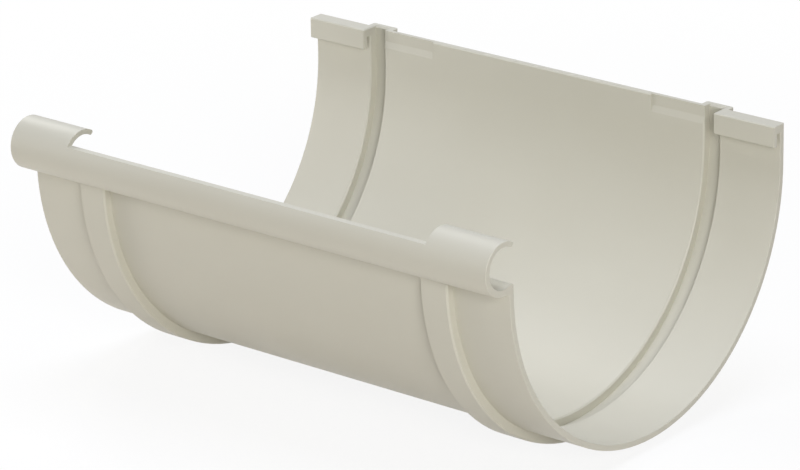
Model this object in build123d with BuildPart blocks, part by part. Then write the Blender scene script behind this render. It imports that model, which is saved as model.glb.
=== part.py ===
from build123d import *
import math
import os

os.makedirs("parts", exist_ok=True)

# Frame: origin on the axis of the half-round trough, half way along it.
# +X runs along the gutter, +Y points to the wall side, +Z is up. Millimetres.

# Trough
bore_r = 63.2  # inside radius, the seat of the gutter ends
wall_t = 1.8  # wall of the trough and of both uprights
union_l = 175.6  # overall length along the gutter
rear_h = 12.1  # top of the rear wall above the trough axis

# Front bead: a C-shaped tube along the front edge, open towards the trough
bead_out = 2.6  # centre of the bead, outwards from the outside of the trough
bead_z = 8.0  # centre of the bead, up from the trough's axis
bead_r = 7.9  # outside radius of the bead
bead_t = 1.8  # wall of the bead at its front
bead_taper = 0.3  # the hollow sits this far above the bead's centre, so the lip is thinner than the root
lip_deg = 54.0  # the lip ends this far above the inward horizontal
lip_r = 0.6  # rounding of the lip's tip
bead_root_r = 1.5  # hollow rounding between the bead and the outside of the trough
front_r = 1.0  # rounding of the front wall's inner top edge
clip_l = 21.6  # length of the full bead left at each end
notch_z = 12.4  # level to which the bead is cut down between the two clips

# Seal bands: a raised band outside and a groove inside, one pair near each end
band_end = 24.4  # middle of a band from the end of the union
band_w = 9.6  # width of the band over its flanks
band_h = 2.8  # height of the band above the outside of the trough
band_edge_c = 0.5  # bevel of the band's outer edges
groove_w = 5.6  # width of the groove between its flanks
groove_d = 2.8  # depth of the groove below the bore
groove_edge_c = 0.4  # bevel of the groove's mouth
groove_top_c = 0.6  # bevel of the groove's back where it opens at the top of the rear wall

# Rear hooks: a top plate with a flange turned down over each end of the rear wall
hook_gap = 1.6  # slot between the flange and the rear wall
flange_t = 1.6  # thickness of the flange
flange_h = 6.5  # height of the flange below the top of the wall
plate_t = 2.6  # thickness of the top plate
hook_corner_r = 0.5  # rounding of the hook's inner corner, seen from above

# Rebates in the top of the rear wall, from the middle land to each groove
rebate_x = 41.4  # half length of the full-thickness land in the middle
rebate_d = 0.5  # how far the inner face steps back
rebate_h = 3.4  # height of the stepped-back face
rebate_slope_h = 2.1  # height of the slope that leads back to full thickness
land_c = 0.4  # bevel of the land's inner top edge

# Small bevels
rim_c = 0.15  # end faces
hook_c = 0.3  # front edges of the hooks

# Derived sizes
half_l = union_l / 2
outer_r = bore_r + wall_t
bead_y = -outer_r - bead_out
hollow_z = bead_z + bead_taper
hollow_r = bead_r - bead_t
clip_x = half_l - clip_l
band_x = half_l - band_end
hook_x = band_x + groove_w / 2
flange_y = bore_r - hook_gap - flange_t

# The front wall stops where the hollow of the bead reaches its outer face.
front_h = hollow_z - math.sqrt(hollow_r**2 - bead_out**2)
bead_end_deg = 270 + math.degrees(math.asin(bead_out / hollow_r))
bead_sweep = bead_end_deg - lip_deg

# The bands end inside the wall of the bead.
band_front_h = bead_z - bead_r + 0.7 * bead_t

# Bands and grooves are swept round the trough from the rear towards the front.
sweep_axis = Axis((0, 0, 0), (-1, 0, 0))

with BuildPart() as gutter_union:
    # Trough with its tall rear wall and low front wall
    with BuildSketch(Plane.YZ):
        Circle(outer_r)
        Circle(bore_r, mode=Mode.SUBTRACT)
        Rectangle(2 * outer_r, outer_r, align=(Align.CENTER, Align.MIN), mode=Mode.SUBTRACT)
        with Locations((bore_r, 0)):
            Rectangle(wall_t, rear_h, align=(Align.MIN, Align.MIN))
        with Locations((-bore_r, 0)):
            Rectangle(wall_t, front_h, align=(Align.MAX, Align.MIN))
    extrude(amount=half_l, both=True)

    # Front bead, first along the whole length
    with BuildSketch(Plane.YZ):
        with BuildLine():
            bead_outside = CenterArc((bead_y, bead_z), bead_r, lip_deg, bead_sweep)
            bead_inside = CenterArc((bead_y, hollow_z), hollow_r, lip_deg, bead_sweep)
            Line(bead_outside @ 0, bead_inside @ 0)
            Line(bead_outside @ 1, bead_inside @ 1)
        make_face()
    extrude(amount=half_l, both=True)

    # Roundings along the whole length: the bead's root, the front wall's top and the tip of the lip
    long_edges = gutter_union.edges().filter_by(Axis.X)
    root_z = bead_z - math.sqrt(bead_r**2 - bead_out**2)
    root_edges = long_edges.filter_by_position(Axis.Y, -outer_r - 0.01, -outer_r + 0.01)
    front_edges = long_edges.filter_by_position(Axis.Y, -bore_r - 0.01, -bore_r + 0.01)
    tip_edges = long_edges.filter_by_position(Axis.Z, bead_z + bead_r / 2, bead_z + bead_r)
    fillet(root_edges.filter_by_position(Axis.Z, root_z - 0.01, root_z + 0.01), bead_root_r)
    fillet(front_edges.filter_by_position(Axis.Z, front_h - 0.01, front_h + 0.01), front_r)
    fillet(tip_edges.filter_by_position(Axis.Y, bead_y, 0), lip_r)

    # Bead cut down between the clips, and its lip taken off there
    with BuildSketch(Plane.YZ):
        with Locations((bead_y, notch_z)):
            Rectangle(4 * bead_r, 2 * bead_r, align=(Align.CENTER, Align.MIN))
        with Locations((bead_y, bead_z + bead_r / 4)):
            Rectangle(2 * bead_r, 2 * bead_r, align=(Align.MIN, Align.MIN))
    extrude(amount=clip_x, both=True, mode=Mode.SUBTRACT)

    # Raised bands round the outside, carried up the rear wall
    with BuildSketch(Plane.XY) as band_section:
        with Locations((band_x, outer_r - wall_t / 2)):
            Rectangle(band_w, band_h + wall_t / 2, align=(Align.CENTER, Align.MIN))
        band_corners = band_section.vertices().group_by(Axis.Y)
        chamfer(band_corners[-1], band_edge_c)
        mirror(about=Plane.YZ)
    revolve(axis=sweep_axis, revolution_arc=180)
    extrude(band_section.sketch, amount=rear_h)
    band_fronts = mirror(band_section.sketch, about=Plane.XZ, mode=Mode.PRIVATE)
    extrude(band_fronts, amount=band_front_h)

    # Grooves inside the bands, open at the top of the rear wall
    with BuildSketch(Plane.XY) as groove_section:
        with Locations((band_x, bore_r)):
            Rectangle(groove_w + 4 * groove_edge_c, wall_t, align=(Align.CENTER, Align.MAX))
            Rectangle(groove_w, groove_d, align=(Align.CENTER, Align.MIN))
        groove_mouth = groove_section.vertices().filter_by_position(
            Axis.Y, bore_r - 0.01, bore_r + 0.01
        ).filter_by_position(Axis.X, band_x - 0.51 * groove_w, band_x + 0.51 * groove_w)
        chamfer(groove_mouth, groove_edge_c)
        mirror(about=Plane.YZ)
    revolve(axis=sweep_axis, revolution_arc=180, mode=Mode.SUBTRACT)
    extrude(groove_section.sketch, amount=rear_h, mode=Mode.SUBTRACT)

    # Rebates in the top of the rear wall
    with BuildSketch(Plane.YZ.offset(rebate_x)):
        with BuildLine():
            Polyline(
                (bore_r - wall_t, rear_h),
                (bore_r + rebate_d, rear_h),
                (bore_r + rebate_d, rear_h - rebate_h),
                (bore_r, rear_h - rebate_h - rebate_slope_h),
                (bore_r - wall_t, rear_h - rebate_h - rebate_slope_h),
                close=True,
            )
        make_face()
    rebates = extrude(amount=band_x - rebate_x, mode=Mode.SUBTRACT)
    mirror(rebates, about=Plane.YZ, mode=Mode.SUBTRACT)

    # Bevels of the rear wall's inner top edges, on the land and behind each groove
    groove_y = bore_r + groove_d
    long_edges = gutter_union.edges().filter_by(Axis.X)
    top_edges = long_edges.filter_by_position(Axis.Z, rear_h - 0.01, rear_h + 0.01)
    wall_edges = top_edges.filter_by_position(Axis.Y, bore_r - 0.01, bore_r + 0.01)
    groove_edges = top_edges.filter_by_position(Axis.Y, groove_y - 0.01, groove_y + 0.01)
    chamfer(wall_edges.filter_by_position(Axis.X, -rebate_x, rebate_x), land_c)
    chamfer(groove_edges, groove_top_c)

    # Rear hooks, from each groove to the end of the union
    with BuildSketch(Plane.XY.offset(rear_h)) as hook_plate:
        with Locations((hook_x, flange_y)):
            Rectangle(half_l - hook_x, outer_r - flange_y, align=Align.MIN)
        fillet(hook_plate.vertices().sort_by_distance((hook_x, flange_y, rear_h))[0], hook_corner_r)
        mirror(about=Plane.YZ)
    extrude(amount=-plate_t)
    with BuildSketch(Plane.XY.offset(rear_h - plate_t)) as hook_flange:
        with Locations((hook_x, flange_y)):
            Rectangle(half_l - hook_x, flange_t, align=Align.MIN)
        fillet(hook_flange.vertices().sort_by_distance((hook_x, flange_y, rear_h))[0], hook_corner_r)
        mirror(about=Plane.YZ)
    extrude(amount=plate_t - flange_h)

    # Small bevels of the end faces and of the hooks
    hook_edges = gutter_union.edges().filter_by(Axis.X)
    chamfer(hook_edges.filter_by_position(Axis.Y, flange_y - 0.01, flange_y + 0.01), hook_c)
    end_faces = gutter_union.faces().filter_by(Axis.X).group_by(Axis.X)
    chamfer(end_faces[0].edges() + end_faces[-1].edges(), rim_c)

gutter_union.part.label = "gutter_union"
export_step(gutter_union.part, "parts/gutter_union.step")
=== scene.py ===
import math

import bpy
from mathutils import Matrix, Vector


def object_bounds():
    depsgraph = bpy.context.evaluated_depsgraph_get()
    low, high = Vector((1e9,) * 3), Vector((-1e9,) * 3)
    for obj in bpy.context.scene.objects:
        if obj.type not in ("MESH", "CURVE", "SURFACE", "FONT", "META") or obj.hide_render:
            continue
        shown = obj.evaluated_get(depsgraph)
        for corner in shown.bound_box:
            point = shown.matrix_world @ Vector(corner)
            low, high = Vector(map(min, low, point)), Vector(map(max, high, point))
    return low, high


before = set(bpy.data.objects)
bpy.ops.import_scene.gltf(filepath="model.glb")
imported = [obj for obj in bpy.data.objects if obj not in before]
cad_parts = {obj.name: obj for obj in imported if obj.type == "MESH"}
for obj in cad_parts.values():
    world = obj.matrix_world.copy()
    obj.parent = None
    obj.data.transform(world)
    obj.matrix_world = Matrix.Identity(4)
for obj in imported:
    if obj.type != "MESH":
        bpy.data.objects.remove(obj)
cad_box = [list(corner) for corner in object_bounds()]
scene = bpy.context.scene

# Colours, linear
PVC = (0.604, 0.588, 0.500)
PVC_DEEP = (0.587, 0.569, 0.479)
FLOOR_SHOWN = (0.99, 0.99, 0.98)
FLOOR_BOUNCE = (0.88, 0.83, 0.76)
WORLD_TINT = (1.0, 0.99, 0.96)
WHITE = (1.0, 1.0, 1.0)

# Surface of the moulding: noise scales in features per metre, depths in metres
CLOUD_SCALE = 22.0
FLOW_SCALE = 60.0
FLOW_STRETCH = (0.25, 1.0, 1.0)  # the flow lines run along the gutter
SMEAR_SCALE = 45.0
NOISE_SPAN = (0.3, 0.7)  # nearly all values of a noise lie between these
ROUGHNESS = (0.42, 0.51)
GRAIN_SCALE, GRAIN_STRENGTH, GRAIN_DEPTH = 2600.0, 0.12, 0.00005
WAVE_SCALE, WAVE_STRENGTH, WAVE_DEPTH = 70.0, 0.15, 0.0004
PLASTIC_IOR = 1.5

# Floor: where it is seen, its own share of white is lowest up to SHADOW_REACH, where the
# object's shadow lies, and full from WHITE_FROM on. Distances are from the origin, in metres.
FLOOR_REACH = 6.0
FLOOR_GLOW = 0.88
SHADOW_REACH = 0.14
WHITE_FROM = 0.42

# Even light of the studio
WORLD_LEVEL = 0.04

# Lamps: name, azimuth and elevation in degrees, distance and width in metres, watts, tint.
# Azimuth 0 is the front (-Y) and 90 the right (+X).
FAR = 1.3
NEAR = 0.6
LAMPS = (
    ("key", 50, 20, FAR, 0.5, 9.1, WHITE),
    ("top", 0, 90, FAR, 0.8, 9.8, (0.97, 1.0, 1.13)),
    ("back_left", -120, 40, FAR, 0.5, 4.0, (1.0, 1.0, 0.97)),
    ("near_left", -72, 2, NEAR, 0.2, 1.42, (1.0, 0.985, 0.98)),
)

# Camera, as solved from the object's straight edges and circles in the photograph
SENSOR_WIDTH = 36.0
LENS = 201.45
CAMERA_PLACE = (0.78007, -0.95095, 0.44451)
HEADING = math.radians(39.499)
DIP = math.radians(20.787)
ROLL = math.radians(-1.183)
CLIP_START, CLIP_END = 0.01, 50.0


def new_material(name):
    """A material with an empty node tree: (material, nodes, links)."""
    mat = bpy.data.materials.new(name)
    mat.use_nodes = True
    mat.node_tree.nodes.clear()
    return mat, mat.node_tree.nodes, mat.node_tree.links


def math_node(nodes, links, operation, *values):
    """The result of a math node whose inputs are sockets or plain numbers."""
    node = nodes.new("ShaderNodeMath")
    node.operation = operation
    for slot, value in zip(node.inputs, values):
        if isinstance(value, bpy.types.NodeSocket):
            links.new(value, slot)
        else:
            slot.default_value = value
    return node.outputs[0]


def noise(nodes, links, coords, scale, detail, stretch=(1.0, 1.0, 1.0)):
    """A noise texture's value in object space, stretched along the object's axes."""
    mapping = nodes.new("ShaderNodeMapping")
    mapping.inputs["Scale"].default_value = stretch
    tex = nodes.new("ShaderNodeTexNoise")
    tex.inputs["Scale"].default_value = scale
    tex.inputs["Detail"].default_value = detail
    links.new(coords.outputs["Object"], mapping.inputs["Vector"])
    links.new(mapping.outputs["Vector"], tex.inputs["Vector"])
    return tex.outputs["Fac"]


def remap(nodes, links, value, from_range, to_range, interpolation="LINEAR"):
    """Maps a value from one range to another and holds it at both ends."""
    node = nodes.new("ShaderNodeMapRange")
    node.interpolation_type = interpolation
    node.inputs["From Min"].default_value, node.inputs["From Max"].default_value = from_range
    node.inputs["To Min"].default_value, node.inputs["To Max"].default_value = to_range
    links.new(value, node.inputs["Value"])
    return node.outputs["Result"]


def bump(nodes, links, height, strength, depth):
    """A bump node over a height value."""
    node = nodes.new("ShaderNodeBump")
    node.inputs["Strength"].default_value = strength
    node.inputs["Distance"].default_value = depth
    links.new(height, node.inputs["Height"])
    return node


def mix_colours(nodes, links, share, first, second):
    """The mix of two colours: none of the second at a share of 0, only the second at 1."""
    node = nodes.new("ShaderNodeMix")
    node.data_type = "RGBA"
    node.inputs["A"].default_value = (*first, 1.0)
    node.inputs["B"].default_value = (*second, 1.0)
    links.new(share, node.inputs["Factor"])
    return node.outputs["Result"]


def moulded_pvc():
    """Light warm grey moulded PVC: soft sheen, faint cloudiness and flow lines, fine grain."""
    mat, nodes, links = new_material("moulded_pvc")
    out = nodes.new("ShaderNodeOutputMaterial")
    shader = nodes.new("ShaderNodeBsdfPrincipled")
    coords = nodes.new("ShaderNodeTexCoord")
    links.new(shader.outputs["BSDF"], out.inputs["Surface"])

    cloud = noise(nodes, links, coords, CLOUD_SCALE, detail=3.0)
    flow = noise(nodes, links, coords, FLOW_SCALE, detail=2.0, stretch=FLOW_STRETCH)
    half_flow = math_node(nodes, links, "MULTIPLY", flow, 0.5)
    blend = math_node(nodes, links, "MULTIPLY_ADD", cloud, 0.5, half_flow)
    shade = remap(nodes, links, blend, NOISE_SPAN, (0.0, 1.0))
    links.new(mix_colours(nodes, links, shade, PVC_DEEP, PVC), shader.inputs["Base Color"])

    smear = noise(nodes, links, coords, SMEAR_SCALE, detail=4.0)
    links.new(remap(nodes, links, smear, NOISE_SPAN, ROUGHNESS), shader.inputs["Roughness"])

    grain = noise(nodes, links, coords, GRAIN_SCALE, detail=2.0)
    waves = noise(nodes, links, coords, WAVE_SCALE, detail=1.0)
    fine = bump(nodes, links, grain, GRAIN_STRENGTH, GRAIN_DEPTH)
    ripple = bump(nodes, links, waves, WAVE_STRENGTH, WAVE_DEPTH)
    links.new(fine.outputs["Normal"], ripple.inputs["Normal"])
    links.new(ripple.outputs["Normal"], shader.inputs["Normal"])

    shader.inputs["IOR"].default_value = PLASTIC_IOR
    shader.inputs["Specular IOR Level"].default_value = 0.5
    return mat


def seen_directly(nodes, links):
    """1 for camera, glossy and transmission rays, 0 for the rest."""
    path = nodes.new("ShaderNodeLightPath")
    camera_ray, glossy_ray = path.outputs["Is Camera Ray"], path.outputs["Is Glossy Ray"]
    either = math_node(nodes, links, "MAXIMUM", camera_ray, glossy_ray)
    return math_node(nodes, links, "MAXIMUM", either, path.outputs["Is Transmission Ray"])


def floor_material():
    """Pale floor that shows nearly white, keeps a soft shadow and throws warm light back."""
    mat, nodes, links = new_material("floor_white")
    out = nodes.new("ShaderNodeOutputMaterial")
    coords = nodes.new("ShaderNodeTexCoord")
    seen = seen_directly(nodes, links)

    matt = nodes.new("ShaderNodeBsdfDiffuse")
    colour = mix_colours(nodes, links, seen, FLOOR_BOUNCE, FLOOR_SHOWN)
    links.new(colour, matt.inputs["Color"])
    glow = nodes.new("ShaderNodeEmission")
    glow.inputs["Color"].default_value = (*WHITE, 1.0)

    away = nodes.new("ShaderNodeVectorMath")
    away.operation = "LENGTH"
    links.new(coords.outputs["Object"], away.inputs[0])
    distance_range = (SHADOW_REACH, WHITE_FROM)
    glow_share = remap(
        nodes, links, away.outputs["Value"], distance_range, (FLOOR_GLOW, 1.0), "SMOOTHSTEP"
    )
    mix = nodes.new("ShaderNodeMixShader")
    links.new(math_node(nodes, links, "MULTIPLY", seen, glow_share), mix.inputs["Fac"])
    links.new(matt.outputs["BSDF"], mix.inputs[1])
    links.new(glow.outputs["Emission"], mix.inputs[2])
    links.new(mix.outputs["Shader"], out.inputs["Surface"])
    return mat


def white_world():
    """Even studio light, and plain white where it is seen."""
    world = bpy.data.worlds.new("studio")
    world.use_nodes = True
    nodes, links = world.node_tree.nodes, world.node_tree.links
    nodes.clear()
    out = nodes.new("ShaderNodeOutputWorld")
    mix = nodes.new("ShaderNodeMixShader")
    links.new(seen_directly(nodes, links), mix.inputs["Fac"])
    for slot, tint, level in ((1, WORLD_TINT, WORLD_LEVEL), (2, WHITE, 1.0)):
        background = nodes.new("ShaderNodeBackground")
        background.inputs["Color"].default_value = (*tint, 1.0)
        background.inputs["Strength"].default_value = level
        links.new(background.outputs["Background"], mix.inputs[slot])
    links.new(mix.outputs["Shader"], out.inputs["Surface"])
    scene.world = world


def soft_box(name, azimuth, elevation, distance, width, watts, tint):
    """A square lamp that faces the object."""
    data = bpy.data.lights.new(name, "AREA")
    data.shape = "SQUARE"
    data.size = width
    data.energy = watts
    data.color = tint
    obj = bpy.data.objects.new(name, data)
    scene.collection.objects.link(obj)
    turn, rise = math.radians(azimuth), math.radians(elevation)
    across, up = math.cos(rise), math.sin(rise)
    away = Vector((math.sin(turn) * across, -math.cos(turn) * across, up))
    obj.location = away * distance
    obj.rotation_euler = (-away).to_track_quat("-Z", "Y").to_euler()


def flat_floor(level):
    """A square floor at the given level, centred under the origin."""
    sides = ((-1, -1), (1, -1), (1, 1), (-1, 1))
    corners = [(FLOOR_REACH * x, FLOOR_REACH * y, level) for x, y in sides]
    mesh = bpy.data.meshes.new("floor")
    mesh.from_pydata(corners, [], [(0, 1, 2, 3)])
    obj = bpy.data.objects.new("floor", mesh)
    scene.collection.objects.link(obj)
    return obj


# Object
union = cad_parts["gutter_union"]
pvc = moulded_pvc()
for material_slot in union.material_slots:
    material_slot.material = pvc
if not union.material_slots:
    union.data.materials.append(pvc)

# Floor
floor = flat_floor(cad_box[0][2])
floor.data.materials.append(floor_material())

# Light
white_world()
for lamp in LAMPS:
    soft_box(*lamp)

# Camera
camera_data = bpy.data.cameras.new("camera")
camera_data.sensor_width = SENSOR_WIDTH
camera_data.lens = LENS
camera_data.clip_start = CLIP_START
camera_data.clip_end = CLIP_END
camera = bpy.data.objects.new("camera", camera_data)
scene.collection.objects.link(camera)
look_down = Matrix.Rotation(math.pi / 2 - DIP, 4, "X")
aim = Matrix.Rotation(HEADING, 4, "Z") @ look_down @ Matrix.Rotation(ROLL, 4, "Z")
camera.matrix_world = Matrix.Translation(CAMERA_PLACE) @ aim
scene.camera = camera

scene.view_settings.view_transform = "Standard"
